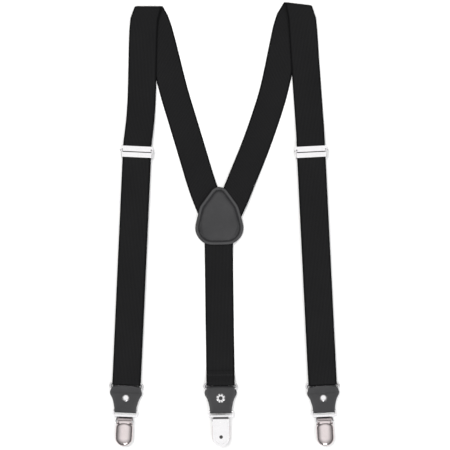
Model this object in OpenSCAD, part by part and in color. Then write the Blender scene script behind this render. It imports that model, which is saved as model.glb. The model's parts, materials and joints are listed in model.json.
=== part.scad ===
// Y-back suspenders, laid flat with the front straps folded over at the shoulders.
// +Y points to the shoulder folds, +Z away from the table. The origin is the middle of the
// bounding box, on the table. Millimetres.

/* [Webbing] */
// Width of the elastic webbing
webbing_w = 25; // [20:0.5:26]
// Thickness of the elastic webbing
webbing_t = 1.1; // [0.8:0.1:1.2]

/* [Layout] */
// Distance of the ring's upper bar below the middle of the layout
ring_drop = 139.8; // [130:0.5:150]
// Height of each adjuster above the middle of the layout
slider_rise = 64.5; // [20:0.5:66]
// Height of the bars of the upturned ring at the back
back_bar_z = 3.45; // [3.45:0.05:3.6]

/* [Leather] */
// Thickness of the tab leather
leather_t = 1.0; // [0.8:0.05:1.05]
// Thickness of each leather of the back patch
patch_t = 1.2; // [0.9:0.1:1.5]
// Length of the tab, from the ring's lower bar to the bar of the clip's bail
tab_reach = 19.4; // [19.2:0.1:21]
// Radius of the rivet's domed head
rivet_head_r = 3.6; // [3:0.1:4.2]

/* [Metal] */
// Diameter of the ring's wire
wire_d = 1.8; // [1.4:0.1:1.8]
// Distance between the two bars of the ring
bar_gap = 4.8; // [4.8:0.1:5.4]
// Thickness of the pressed sheet metal
sheet = 0.7; // [0.5:0.05:0.75]
// Width of the clip's lever
lever_w = 15.6; // [15:0.1:16.4]
// Height of the lever's back above the clip's pivot plane
lever_top = 5.9; // [5.6:0.1:6.2]
// Width of the adjuster between its cheeks
slider_in = 26.6; // [26.4:0.1:27.4]

/* [Hidden] */
SIDES = ["left", "right", "back"];
$fn = 40;

play = 0.05;                                  // radial play of every pin in its hole
half_w = webbing_w / 2;
loop_gap = 0.1;                               // slack of a loop round its bar
strap_r = wire_d / 2 + loop_gap + webbing_t / 2;  // middle of the webbing round the ring's bar
bar_z = strap_r + webbing_t / 2;              // height of the front rings' bars
lying_z = webbing_t / 2;                      // middle of webbing that lies on the table
upper_z = bar_z + strap_r;                    // middle of the front ply

// Fold at each shoulder: [x and y of the fold's axis, heading of the fold line in degrees]
FOLD_LEFT = [-66.6, 191.4, 0];
FOLD_RIGHT = [64.5, 193.6, -6.7];
function fold(side) = side == "left" ? FOLD_LEFT : FOLD_RIGHT;

// End of each strap: [x of the ring's upper bar, heading of that bar, 1 where the clip is upturned]
END_LEFT = [-86.55, -2.6, 0];
END_RIGHT = [86.6, 2.85, 0];
END_BACK = [-3.5, 0.7, 1];
function strap_end(side) = side == "left" ? END_LEFT : side == "right" ? END_RIGHT : END_BACK;

// ---------- Ribbons ----------

function unit(v) = v / norm(v);
function catmull(p, q, r, s, t) = 0.5 * (2 * q + (r - p) * t + (2 * p - 5 * q + 4 * r - s) * t * t
    + (3 * q - p - 3 * r + s) * t * t * t);

// A smooth curve through the points, with n steps between two of them
function smooth(pts, n) = [
    for (i = [0:len(pts) - 2], k = [0:n - 1])
        catmull(pts[max(i - 1, 0)], pts[i], pts[i + 1], pts[min(i + 2, len(pts) - 1)], k / n),
    pts[len(pts) - 1]
];

// One station of a ribbon is [x, y, z, heading of its width, half width]
function place(s) = [s[0], s[1], s[2]];
function across(s) = [cos(s[3]), sin(s[3]), 0];
function along(st, i) = unit(place(st[min(i + 1, len(st) - 1)]) - place(st[max(i - 1, 0)]));
function rib(st, i, t) = let (
    s = st[i], w = across(s) * s[4], n = unit(cross(along(st, i), across(s))) * t / 2
) [place(s) + w + n, place(s) - w + n, place(s) - w - n, place(s) + w - n];

// A flat strip of thickness t along the stations
module ribbon(st, t) {
    last = len(st) - 1;
    polyhedron(
        points = [for (i = [0:last]) for (p = rib(st, i, t)) p],
        faces = concat(
            [[0, 3, 2], [0, 2, 1]],
            [for (i = [0:last - 1], k = [0:3]) let (a = 4 * i + k, b = 4 * i + (k + 1) % 4)
                for (f = [[a, b, b + 4], [a, b + 4, a + 4]]) f],
            [[4 * last, 4 * last + 1, 4 * last + 2], [4 * last, 4 * last + 2, 4 * last + 3]]
        )
    );
}

// ---------- Frames ----------

// The ring's upper bar lies on the X axis here, with the strap towards +Y and the front at +Z
module at_end(side) {
    e = strap_end(side);
    translate([e[0], -ring_drop, e[2] ? back_bar_z : bar_z])
        rotate([0, 0, e[1]]) rotate([0, e[2] * 180, 0]) children();
}

// The ring's lower bar lies on the X axis here, and the tab runs towards -Y
module at_tab(side) {
    at_end(side) translate([0, -bar_gap, 0])
        rotate([strap_end(side)[2] * back_tilt, 0, 0]) children();
}
back_tilt = asin((lever_top - back_bar_z) / tab_reach);  // the back tab climbs to the upturned clip

// The bar of the clip's bail lies on the X axis here, and the clip points to -Y
module at_clip(side) {
    at_tab(side) translate([0, -tab_reach, 0])
        rotate([-strap_end(side)[2] * back_tilt, 0, 0]) children();
}

// The adjuster's middle, on the table, with the strap along Y
function strap_x(side, y) = let (e = strap_end(side)) e[0] - tan(e[1]) * (y + ring_drop);
module at_slider(side) {
    translate([strap_x(side, slider_rise), slider_rise, 0])
        rotate([0, 0, strap_end(side)[1]]) children();
}

// ---------- Straps ----------

// Front strap above the adjuster, from there to the fold: [x, y, z, heading, half width]
FRONT_LEFT = [
    [-75.6, 82, 3.4, -3.4, half_w], [-74.4, 93, 2.6, -3.8, half_w], [-73.4, 108, 1.95, -2.6, half_w],
    [-72.8, 126, 1.8, -1.5, half_w], [-72.3, 150, 1.8, -1.3, half_w],
    [-71.7, 170, 2.1, -2.0, half_w], [-70.8, 182, 2.9, -3, half_w - 0.2]
];
FRONT_RIGHT = [
    [75.6, 82, 3.4, 2.9, half_w], [74.9, 93, 2.6, 3.0, half_w], [73.9, 108, 1.95, 3.2, half_w],
    [72.6, 126, 1.8, 3.6, half_w], [70.9, 150, 1.8, 3.8, half_w],
    [69.6, 170, 2.1, 2.2, half_w], [68.4, 183, 2.9, 0, half_w - 0.2]
];
// Back strap, from the fold to the patch
BACK_LEFT = [
    [-62.6, 184, 0.55, 9, half_w - 0.1], [-58.9, 173, 0.55, 13, half_w], [-54.1, 155, 0.55, 14, half_w],
    [-45.2, 119.5, 0.55, 15.4, half_w], [-37.3, 93, 0.55, 16.4, half_w],
    [-29.3, 66.5, 0.7, 16.7, half_w], [-21.4, 40, 1.7, 18.5, half_w],
    [-15.0, 22, 1.85, 22, half_w], [-7.4, 4.5, 1.85, 24, half_w]
];
BACK_RIGHT = [
    [58.8, 185, 0.55, -10, half_w - 0.1], [55.2, 173, 0.55, -12, half_w], [51.4, 155, 0.55, -12.2, half_w],
    [43.8, 119.5, 0.55, -15, half_w], [35.7, 93, 0.55, -18, half_w],
    [26.2, 66.5, 0.9, -20.8, half_w], [15.4, 40, 2.2, -23.5, half_w],
    [8.0, 22, 3.1, -26, half_w], [0.2, 6.0, 3.1, -27, half_w]
];
function over_fold(side) = side == "left" ? FRONT_LEFT : FRONT_RIGHT;
function under_fold(side) = side == "left" ? BACK_LEFT : BACK_RIGHT;

// A station of the fold at the angle a: 0 on top, 180 underneath
fold_shift = 1.2;                             // how far the strap creeps along the fold line
fold_w = half_w - 0.5;                        // half width where the edges draw in
function at_fold(side, a) = let (
    f = fold(side), s = side == "left" ? 1 : -1, w = [cos(f[2]), sin(f[2])],
    creep = s * fold_shift * (a / 90 - 1), up = strap_r * sin(a)
) [f[0] + w[0] * creep - w[1] * up, f[1] + w[1] * creep + w[0] * up, bar_z + strap_r * cos(a),
    f[2], fold_w];

fold_cut = 0.15;                              // bare stretch on each side of the fold piece

// From the ring, up the front and to the fold, with the loop round the ring's bar first
tail = 14;                                    // webbing that lies behind the ring before the return ply
function on_strap(side, v, z) = let (
    e = strap_end(side)
) [e[0] - sin(e[1]) * v, -ring_drop + cos(e[1]) * v, z, e[1], half_w];
function front_stations(side) = concat(
    [on_strap(side, tail, lying_z)],
    [for (a = [180:-15:0]) on_strap(side, -strap_r * sin(a), bar_z + strap_r * cos(a))],
    [for (y = [-90, 0, 70]) on_strap(side, (y + ring_drop) / cos(strap_end(side)[1]), upper_z)],
    smooth(over_fold(side), 4),
    [let (s = at_fold(side, 0)) [s[0], s[1] - fold_cut, s[2], s[3], s[4]]]
);

module strap_front(side) color("#1d1d1f") ribbon(front_stations(side), webbing_t);

module strap_fold(side) color("#1d1d1f")
    ribbon([for (a = [0:15:180]) at_fold(side, a)], webbing_t);

module strap_back(side) color("#1d1d1f") ribbon(
    concat([let (s = at_fold(side, 180)) [s[0], s[1] - fold_cut, s[2], s[3], s[4]]],
        smooth(under_fold(side), 4)), webbing_t);

// Center strap: under the patch, down the back, round the ring's bar and up to the sewn end
hem = 10.5;                                   // length of the sewn end
CENTER = [[-5.1, -8, 1.85, 0.7, half_w], [-5.0, -19, 1.85, 0.7, half_w], [-4.9, -34, 0.75, 0.7, half_w],
    [-4.7, -50, 0.55, 0.7, half_w], [-4.2, -90, 0.55, 0.7, half_w]];
module strap_center() color("#1d1d1f") ribbon(concat(
    smooth(CENTER, 2),
    [for (p = [[28, 0.57], [20, 0.75], [12, 1.1], [6, 1.5]]) on_strap("back", p[0], p[1])],
    [for (a = [0:15:180]) on_strap("back", -strap_r * sin(a), back_bar_z - strap_r * cos(a))],
    [for (p = [[2.5, 4.6], [5, 3.4], [7.5, 2.6], [hem, 2.38]]) on_strap("back", p[0], p[1])]), webbing_t);

// Return ply: from the tail up behind the front ply and round the adjuster's bar
slider_bar = [-4.9, -1.9];                    // lower and upper edge of the bar that it wraps
slider_z = webbing_t + play;                  // underside of the adjuster's back plate
return_r = (sheet + 2 * play + webbing_t) / 2;
flap = 12;
function at_bar(side) = (slider_rise + ring_drop) / cos(strap_end(side)[1]) + slider_bar[1] - return_r;
function return_stations(side) = let (v = at_bar(side) + return_r) concat(
    [for (s = [tail + fold_cut, 60, 120, v - 12, v - 4]) on_strap(side, s, lying_z)],
    [for (a = [180:-20:0])
        on_strap(side, v + return_r * sin(a), lying_z + return_r + return_r * cos(a))],
    [for (s = [4, 7]) on_strap(side, v - s, lying_z + 2 * return_r - play)],
    [on_strap(side, v - flap, lying_z + webbing_t + play)]);
module strap_return(side) color("#1d1d1f") ribbon(return_stations(side), webbing_t);

// ---------- Patch ----------

patch_at = [-4.7, 8.2];
patch_turn = 1;
straps_z = 3.1 + webbing_t / 2 + 0.1;         // top of the straps that the patch covers
// Pear outline, grown by d: the hull of a small disc on top and of pairs of large ones below it.
// Each is [x, y, radius].
DISCS = [[-6.4, -10.6, 15], [-4, 2, 14.1], [0.4, 16.9, 8.5], [4, 2, 14.1], [6.4, -10.6, 15]];
module pear(d) hull() for (c = DISCS) translate([c[0], c[1]]) circle(r = c[2] + d);
module at_patch(z) translate([patch_at[0], patch_at[1], z]) rotate([0, 0, patch_turn]) children();
module patch_bottom() color("#3a3a3d") at_patch(0) linear_extrude(patch_t) pear(0);
module patch_top() color("#3a3a3d") at_patch(straps_z) {
    linear_extrude(patch_t) pear(0);
    translate([0, 0, patch_t - 0.2]) linear_extrude(0.6) pear(-4);
}

// One stitch every few degrees round the pear, in the channel beside its rim
stitch_in = 3.2;
stitches = 44;
// How far along a ray at the angle a a disc reaches, and then the pear, which is the hull of its discs
function reach(a, disc) = let (b = disc[0] * cos(a) + disc[1] * sin(a),
    h = disc[2] * disc[2] - disc[0] * disc[0] - disc[1] * disc[1] + b * b) h < 0 ? 0 : b + sqrt(h);
function pear_r(a, d) = max([for (i = [0:24], from = [0:4], to = [0:4]) if (from < to)
    reach(a, DISCS[from] + (DISCS[to] - DISCS[from]) * i / 24 + [0, 0, d])]);
module patch_stitching() color("#101012") at_patch(straps_z + patch_t)
    for (i = [0:stitches - 1]) let (a = 360 * (i + 0.5) / stitches, r = pear_r(a, -stitch_in))
        translate([r * cos(a), r * sin(a), 0.2]) rotate([0, 0, a]) rotate([90, 0, 0])
            cylinder(r = 0.2, h = 1.5, center = true, $fn = 16);

// ---------- Adjuster ----------

slider_h = 9.8;
cheek = 0.6;
pin_r = 0.5;
slider_pin_y = 1;
slider_pin_z = upper_z + webbing_t / 2 + play + pin_r;
band_z = slider_pin_z + pin_r + play;

module bar_x(r, w) rotate([0, 90, 0]) cylinder(r = r, h = w, center = true);
module block(x, y, z) translate([x[0], y[0], z[0]]) cube([x[1] - x[0], y[1] - y[0], z[1] - z[0]]);

module slider_frame(side) color("#d8d8dc") at_slider(side) difference() {
    h = slider_h / 2;
    out = slider_in / 2 + cheek;
    union() {
        block([-out, out], [-h, slider_bar[1]], [slider_z, slider_z + sheet]);
        block([-out, out], [0.8, h], [slider_z, slider_z + sheet]);
        for (s = [-1, 1]) translate([s * (out - cheek / 2), 0, 0])
            block([-cheek / 2, cheek / 2], [-h, h], [slider_z, band_z + sheet]);
        block([-out, out], [2.3, h], [band_z, band_z + sheet]);
        block([1 - slider_in / 2, slider_in / 2 - 1], [0.2, 2.4], [band_z, band_z + sheet]);
    }
    translate([0, slider_pin_y, slider_pin_z]) bar_x(pin_r + play, 2 * out + 1);
}

module slider_lever(side) color("#d8d8dc") at_slider(side) difference() {
    h = slider_h / 2;
    arm_out = slider_in / 2 - 0.2;
    arm = 0.55;
    union() {
        block([-arm_out, arm_out], [-h, -0.6], [band_z, band_z + sheet]);
        translate([0, -h + 0.5, band_z + 0.2]) bar_x(0.5, 2 * arm_out);
        for (s = [-1, 1]) translate([s * (arm_out - arm / 2), 0, 0]) {
            translate([0, slider_pin_y, slider_pin_z]) bar_x(0.95, arm);
            block([-arm / 2, arm / 2], [-1.6, 0.6], [slider_pin_z - 0.2, slider_pin_z + 0.5]);
            block([-arm / 2, arm / 2], [-1.6, -0.6], [slider_pin_z + 0.4, band_z + 0.1]);
        }
        for (i = [-5:5]) translate([i * 2, 0, 0])
            block([-0.6, 0.6], [-1.2, -0.6], [upper_z + webbing_t / 2 + play, band_z + 0.1]);
    }
    translate([0, slider_pin_y, slider_pin_z]) bar_x(pin_r + play, slider_in);
}

module slider_pin(side) color("#c8c8cc") at_slider(side)
    translate([0, slider_pin_y, slider_pin_z]) {
        out = slider_in / 2 + cheek;
        bar_x(pin_r, 2 * out + 2);
        for (s = [-1, 1]) translate([s * (out + 0.75), 0, 0]) bar_x(0.75, 0.9);
    }

// ---------- Ring ----------

ring_in = webbing_w + 1.2;
module ring(side) color("#d8d8dc") at_end(side) {
    r = wire_d / 2;
    for (y = [0, -bar_gap]) translate([0, y, 0]) bar_x(r, ring_in - bar_gap / 2);
    for (s = [0, 180]) translate([0, -bar_gap / 2, 0]) rotate([0, 0, s])
        translate([ring_in / 2 - bar_gap / 4, 0, 0]) rotate([0, 0, -90])
            rotate_extrude(angle = 180) translate([bar_gap / 2, 0]) circle(r = r);
}

// ---------- Leather tab ----------

bail_r = 0.8;
tab_ring_r = wire_d / 2 + loop_gap + leather_t / 2;
tab_bail_r = bail_r + loop_gap + leather_t / 2;
stack = leather_t + play;                     // step from one leather to the next at the rivet
rivet_y = -8;
// Half width of the tab at a distance below the ring's lower bar, through a few points
TAB_SHAPE = [
    [2.6, 12.7], [-1, 13.6], [-3, 14.3], [-5.3, 13.9], [-8.4, 12.0], [-12, 10.8], [-16, 9.9], [-22, 9.4]
];
function tab_half(y) = lookup(y, TAB_SHAPE);
function leather(y, z, trim) = [0, y, z, 0, tab_half(y) - trim];
function bent(y, z, r, from, to, trim, half) = [
    for (a = [from:(to - from) / 10:to]) [0, y + r * sin(a), z + r * cos(a), 0, half - trim]];
back_trim = 0.9;                              // the rear ply is cut this much narrower
module tab(side) color("#3a3a3d") at_tab(side) difference() {
    ribbon(concat(
        [for (p = [[3.0, 1.5 + stack], [0.5, 1.5 + stack], [-2, 2.2], [-4.2, 1.1], [-6.5, stack],
            [-9, stack], [-12, stack], [-15, 1.2], [-17.5, 1.35]]) leather(p[0], p[1], 0)],
        bent(-tab_reach, 0, -tab_bail_r, 180, 0, 0, tab_half(-22)),
        [for (p = [[-17.5, -1.35], [-15, -1.2], [-12, -stack], [-9, -stack], [-3.7, -stack], [-2, -1.3]])
            leather(p[0], p[1], back_trim)],
        bent(0, 0, tab_ring_r, 180, 0, back_trim, tab_half(0)),
        [for (p = [[-2.3, 0.9], [-4, 0.1], [-6.5, 0], [-9, 0], [-12.2, 0]])
            leather(p[0], p[1], 2 * back_trim)]), leather_t);
    translate([0, rivet_y, 0]) cylinder(r = shank_r + play, h = 8, center = true);
}

// ---------- Rivet ----------

shank_r = 1.5;
leather_top = stack + leather_t / 2;          // faces of the three riveted leathers
module rivet_cap(side) color("#e4e4e8") at_tab(side) translate([0, rivet_y, leather_top + play]) {
    dome = 1.5;
    ball = (rivet_head_r * rivet_head_r + dome * dome) / (2 * dome);
    difference() {
        translate([0, 0, dome - ball]) sphere(r = ball, $fn = 64);
        translate([0, 0, -20]) cube(40, center = true);
        translate([0, 0, -1]) cylinder(r = shank_r + play, h = 1.9);
    }
}
// The post is a tube whose split end is rolled outwards into petals
petals = 8;
module rivet_post(side) color("#e4e4e8") at_tab(side) translate([0, rivet_y, 0]) {
    under = -leather_top - play;
    difference() {
        union() {
            translate([0, 0, under - 0.3]) cylinder(r = shank_r, h = leather_top - under + 1.0);
            translate([0, 0, under - 0.5]) cylinder(r = 2.9, h = 0.5);
            for (i = [0:petals - 1]) rotate([0, 0, 360 * i / petals])
                translate([2.9, 0, under - 0.5]) cylinder(r = 1.25, h = 0.5);
        }
        translate([0, 0, under - 2]) cylinder(r = 0.8, h = leather_top - under + 2);
    }
}

// ---------- Clip ----------

bail_w = 22.6;
bail_slot = 20.2;
clip_floor = -bar_z;                          // outer face of the clip's back plate
clip_pin = [-8.8, 3.4];                       // [y, z] of the lever's pin
jaw_pin = [-7.4, 0.6];                        // [y, z] of the jaw's trunnions
clip_pin_r = 0.55;
plate_w = 14.6;
plate_end = -23.3;                            // middle of the plate's round end
ear_in = 6.8;
ear_t = 0.6;
stud_y = -22.4;
stud_r = 1.5;

module rrect(w, h, r) {
    square([w - 2 * r, h], center = true);
    square([w, h - 2 * r], center = true);
    for (x = [-1, 1], y = [-1, 1]) translate([x * (w / 2 - r), y * (h / 2 - r)]) circle(r = r);
}
// Tongue outline: straight from y = top, with a half round end
module tongue(w, top, end) {
    translate([0, end]) circle(r = w / 2, $fn = 64);
    translate([-w / 2, end]) square([w, top - end]);
}
// A side profile given in [y, z], centred on X and w wide
module profile(w, pts) rotate([90, 0, 90]) linear_extrude(w, center = true) polygon(pts);

module clip_base(side) color("#d0ced0") at_clip(side) difference() {
    top = clip_floor + 0.8;
    union() {
        translate([0, -2.4, -0.6]) linear_extrude(1.2) difference() {
            rrect(bail_w, 5.8, 2.4);
            translate([0, 0.8]) rrect(bail_slot, 3.8, 1);
        }
        bar_x(bail_r, bail_slot + 0.6);
        profile(13.2, [[-4.2, 0.6], [-4.2, -0.6], [-4.9, -0.6], [-6.6, clip_floor], [-12, clip_floor],
            [-12, top], [-7.2, top], [-5.5, 0.4]]);
        translate([0, 0, clip_floor]) linear_extrude(0.8) tongue(plate_w, -6.6, plate_end);
        for (s = [-1, 1]) translate([s * (ear_in + ear_t / 2), 0, 0]) {
            profile(ear_t, [[-6.2, clip_floor], [-5.9, 1.2], [-7.3, clip_pin[1] + 0.4],
                [-10.3, clip_pin[1] + 0.4], [-12.6, 0.6], [-14, clip_floor + 1.6], [-23, clip_floor + 1.6],
                [-23.3, clip_floor]]);
            translate([0, clip_pin[0], clip_pin[1]]) bar_x(1.5, ear_t);
        }
    }
    translate([0, clip_pin[0], clip_pin[1]]) bar_x(clip_pin_r + play, 20);
    translate([0, jaw_pin[0], jaw_pin[1]]) bar_x(0.6 + play, 20);
    translate([0, 0, clip_floor - 0.1]) linear_extrude(0.35) tongue(10.4, -9.5, plate_end);
    translate([0, stud_y, clip_floor - 1]) cylinder(r = stud_r + play, h = 4);
}

module clip_jaw(side) color("#c4c2c6") at_clip(side) difference() {
    w = 2 * ear_in - 0.5;
    union() {
        translate([0, 0, 1.4]) linear_extrude(sheet) tongue(w, -8.6, plate_end);
        translate([0, jaw_pin[0], jaw_pin[1]]) bar_x(0.6, 2 * (ear_in + ear_t));
        translate([0, jaw_pin[0], jaw_pin[1]]) bar_x(0.8, w);
        profile(w, [[-6.8, 1.0], [-7.4, 0.2], [-8.2, 0.6], [-8.8, 1.4], [-9.4, 1.45], [-9.4, 2.05],
            [-8.6, 2.1], [-7.6, 1.6]]);
    }
    translate([0, stud_y, 0]) cylinder(r = stud_r + play, h = 4);
}

module clip_pin(side) color("#c8c8cc") at_clip(side) translate([0, clip_pin[0], clip_pin[1]]) {
    bar_x(clip_pin_r, 2 * (ear_in + ear_t) + 1);
    for (s = [-1, 1]) translate([s * (ear_in + ear_t + 0.35), 0, 0]) bar_x(0.9, 0.5);
}

// Rubbery pads with cross ridges: the lower one sits on the back plate, the upper one under the jaw
pad_w = 11;
module pad(base_z, up) {
    thick = 1.1;
    translate([0, 0, up > 0 ? base_z : base_z - thick]) linear_extrude(thick) tongue(pad_w, -13, plate_end);
    for (y = [-14.5:-1.6:-27]) translate([0, y, base_z + up * thick])
        profile(pad_w - 2 - max(0, plate_end - y),
            [[-0.6, -0.05 * up], [0.6, -0.05 * up], [0, 0.22 * up]]);
}
module clip_pad_lower(side) color("#e8e6e0") at_clip(side) {
    pad(clip_floor + 0.8, 1);
    translate([0, stud_y, clip_floor + 0.1]) cylinder(r = stud_r, h = 0.8);
}
module clip_pad_upper(side) color("#e8e6e0") at_clip(side) {
    pad(1.4, -1);
    translate([0, stud_y, 1.3]) cylinder(r = stud_r, h = 0.7);
}

// The lever is an arched shell with a knuckle and a cam on its pin
lever_rim = 2.15;                             // lower edge of the shell, clear of the jaw
module lever_body(d) intersection() {
    w = lever_w - 2 * d;
    translate([0, 0, lever_rim]) linear_extrude(5) {
        tongue(w, -13.4, plate_end - 0.1);
        polygon([[-w / 2, -13.4], [-5.8 + d, -10.2 - d], [5.8 - d, -10.2 - d], [w / 2, -13.4]]);
    }
    rotate([90, 0, 0]) translate([0, 0, 9]) linear_extrude(25) union() {
        translate([0, 3.3 - d / 2]) square([w, 2.3], center = true);
        translate([0, (lever_top - d + 2) / 2]) square([w - 5, lever_top - d - 2], center = true);
        for (s = [-1, 1]) translate([s * (w / 2 - 2.5), lever_top - d - 2.5]) circle(r = 2.5);
    }
    profile(w + 2, [[-9.5, lever_rim], [-9.5, 4.6 - d], [-13, lever_top - d], [-25, lever_top - d],
        [-32 + d, 3.6 - d], [-32 + d, lever_rim]]);
}
module clip_lever(side) color("#b8aeb0") at_clip(side) difference() {
    union() {
        difference() {
            lever_body(0);
            translate([0, 0, -0.01]) lever_body(sheet);
        }
        translate([0, clip_pin[0], clip_pin[1]]) bar_x(0.95, 11.6);
        translate([0, clip_pin[0], clip_pin[1] - 0.75]) bar_x(0.5, 11.6);
        profile(9, [[-8.8, clip_pin[1] - 0.2], [-8.8, clip_pin[1] + 0.7], [-12.8, lever_top - 0.8],
            [-13, lever_top - 1.2]]);
    }
    translate([0, clip_pin[0], clip_pin[1]]) bar_x(clip_pin_r + play, 14);
}

// ---------- Assembly ----------

for (side = ["left", "right"]) {
    strap_front(side);
    strap_fold(side);
    strap_back(side);
    strap_return(side);
    slider_frame(side);
    slider_lever(side);
    slider_pin(side);
}
strap_center();
patch_top();
patch_bottom();
patch_stitching();
for (side = SIDES) {
    ring(side);
    tab(side);
    rivet_cap(side);
    rivet_post(side);
    clip_base(side);
    clip_jaw(side);
    clip_lever(side);
    clip_pin(side);
    clip_pad_lower(side);
    clip_pad_upper(side);
}
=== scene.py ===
# %% [markdown]
# # Y-back suspenders
# The suspenders lie on a table with the two front straps folded over at the shoulders. A strap is
# ribbed elastic webbing, the patch and the three tabs are leather, and the adjusters, rings, rivets
# and clips are pressed and nickel-plated metal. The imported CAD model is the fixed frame. Each cell
# below makes one piece or one finish around it, and says how such a piece could be made and why
# this way was chosen.

# %% Load the frame
import contextlib
import json
import math

import bmesh
import bpy
import numpy as np
from mathutils import Matrix, Vector


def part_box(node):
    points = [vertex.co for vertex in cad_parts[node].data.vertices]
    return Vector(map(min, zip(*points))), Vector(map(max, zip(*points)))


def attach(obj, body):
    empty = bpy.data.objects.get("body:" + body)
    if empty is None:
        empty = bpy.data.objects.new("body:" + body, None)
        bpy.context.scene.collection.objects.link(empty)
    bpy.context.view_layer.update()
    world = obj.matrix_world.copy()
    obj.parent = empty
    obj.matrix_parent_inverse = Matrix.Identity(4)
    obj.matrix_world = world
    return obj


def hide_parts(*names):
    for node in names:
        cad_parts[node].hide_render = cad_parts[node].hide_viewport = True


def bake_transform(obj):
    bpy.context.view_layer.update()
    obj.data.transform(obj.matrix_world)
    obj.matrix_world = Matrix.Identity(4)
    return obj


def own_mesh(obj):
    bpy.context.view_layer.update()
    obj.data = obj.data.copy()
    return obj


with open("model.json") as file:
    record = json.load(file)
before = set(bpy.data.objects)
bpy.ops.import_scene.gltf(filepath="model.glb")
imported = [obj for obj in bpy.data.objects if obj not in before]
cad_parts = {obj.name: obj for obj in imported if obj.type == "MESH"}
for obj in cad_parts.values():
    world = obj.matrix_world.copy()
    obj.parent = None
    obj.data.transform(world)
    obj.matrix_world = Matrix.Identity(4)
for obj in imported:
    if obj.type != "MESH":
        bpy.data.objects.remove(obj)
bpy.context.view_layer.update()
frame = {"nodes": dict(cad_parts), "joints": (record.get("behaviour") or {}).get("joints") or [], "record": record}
MM = 0.001
FRONT_SIDES = ("left", "right")
SIDES = ("left", "right", "back")

# %% [markdown]
# ## Camera, floor and light
# The view is from straight above with a long lens, so that the straps keep parallel edges. The
# floor is one pale plane. Metal shows whatever stands around it, so the room matters more than the
# lamps: the sky is bright overhead and dim towards the horizon. Faces that look up turn light, and
# faces that lean away turn dark, which draws the round of each clip.

# %% Camera
VIEW_WIDTH = 0.3985
VIEW_HEIGHT = 0.94
SENSOR = 36
bpy.ops.object.select_all(action="DESELECT")
bpy.ops.object.camera_add(location=(0.00044, 0, VIEW_HEIGHT), rotation=(0, 0, 0))
camera = bpy.context.object
camera.data.sensor_width = SENSOR
camera.data.lens = SENSOR * VIEW_HEIGHT / VIEW_WIDTH
camera.data.clip_start = 0.01
bpy.context.scene.camera = camera
bpy.context.scene.view_settings.view_transform = "Standard"
print("lens in mm:", round(camera.data.lens, 1))

# %% Helpers that hold, select and edit
SHARP_ANGLE = math.radians(40)


def hold(obj):
    """Makes obj the only selected object and the active one."""
    bpy.ops.object.select_all(action="DESELECT")
    obj.select_set(True)
    bpy.context.view_layer.objects.active = obj


@contextlib.contextmanager
def editing(obj):
    """Edit mode on obj, with all of it selected."""
    hold(obj)
    bpy.ops.object.mode_set(mode="EDIT")
    bpy.ops.mesh.select_mode(type="VERT")
    bpy.ops.mesh.select_all(action="SELECT")
    yield
    bpy.ops.object.mode_set(mode="OBJECT")


def choose(obj, kind, test):
    """In edit mode, selects just the faces, edges or vertices for which test(place, normal) holds."""
    bpy.ops.mesh.select_mode(type=kind)
    bpy.ops.mesh.select_all(action="DESELECT")
    bpy.ops.object.mode_set(mode="OBJECT")
    mesh = obj.data
    spot = [v.co for v in mesh.vertices]
    if kind == "FACE":
        for face in mesh.polygons:
            face.select = test(face.center, face.normal)
    elif kind == "EDGE":
        for edge in mesh.edges:
            edge.select = all(test(spot[i], mesh.vertices[i].normal) for i in edge.vertices)
    else:
        for vertex in mesh.vertices:
            vertex.select = test(vertex.co, vertex.normal)
    bpy.ops.object.mode_set(mode="EDIT")


def extrude(by):
    """In edit mode, extrudes what is selected and moves the new part."""
    bpy.ops.mesh.extrude_region_move(TRANSFORM_OT_translate={"value": by})


def modify(obj, kind, **settings):
    """Adds a modifier to obj and applies it."""
    hold(obj)
    modifier = obj.modifiers.new(kind.lower(), kind)
    for key, value in settings.items():
        setattr(modifier, key, value)
    bpy.ops.object.modifier_apply(modifier=modifier.name)


SMOOTH_ANGLE = math.radians(38)


def named(obj, name):
    """Names a finished piece, puts its place into its mesh and smooths its round faces."""
    obj.name = obj.data.name = name
    hold(obj)
    bpy.ops.object.transform_apply(location=True, rotation=True, scale=True)
    bpy.ops.object.shade_smooth_by_angle(angle=SMOOTH_ANGLE)
    return obj


def carry(obj, label, values):
    """Gives every point of a piece a number of its own, for its finish to read."""
    values = np.array(values, np.float32)
    obj.data.attributes.new(label, "FLOAT", "POINT").data.foreach_set("value", values)


def joined(name, parts):
    """Several meshes made one piece."""
    hold(parts[0])
    for part in parts[1:]:
        part.select_set(True)
    bpy.ops.object.join()
    return named(parts[0], name)


def copy_to(obj, matrix, name):
    """A copy of a piece with its own mesh, carried to another place."""
    copy = obj.copy()
    copy.data = obj.data.copy()
    copy.data.transform(matrix)
    copy.name = copy.data.name = name
    bpy.context.scene.collection.objects.link(copy)
    return copy


BODIES = frame["record"]["behaviour"]["bodies"]
BODY_OF = {node: body for body, nodes in BODIES.items() for node in nodes}


def stand_for(obj, node, finish, bends=False):
    """Lets a piece stand for a CAD node, with its finish and its body. A piece that bends gets no body."""
    obj.data.materials.clear()
    obj.data.materials.append(finish)
    if not bends:
        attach(obj, BODY_OF[node])
    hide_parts(node)
    print(obj.name, len(obj.data.polygons), "faces")
    return obj


# %% Floor and light
FLOOR_SIZE = 8
bpy.ops.mesh.primitive_plane_add(size=FLOOR_SIZE)
floor = named(bpy.context.object, "floor")


def softbox(name, place, size, watts, colour, mirrored=False):
    """A large soft lamp that faces the table. Polished metal shows it only if it is mirrored."""
    bpy.ops.object.light_add(type="AREA", location=place)
    lamp = bpy.context.object
    lamp.name = name
    lamp.data.shape = "RECTANGLE"
    lamp.data.size, lamp.data.size_y = size
    lamp.data.energy = watts
    lamp.data.color = colour
    lamp.rotation_euler = (-Vector(place)).to_track_quat("-Z", "Y").to_euler()
    lamp.visible_glossy = mirrored
    return lamp


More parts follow.
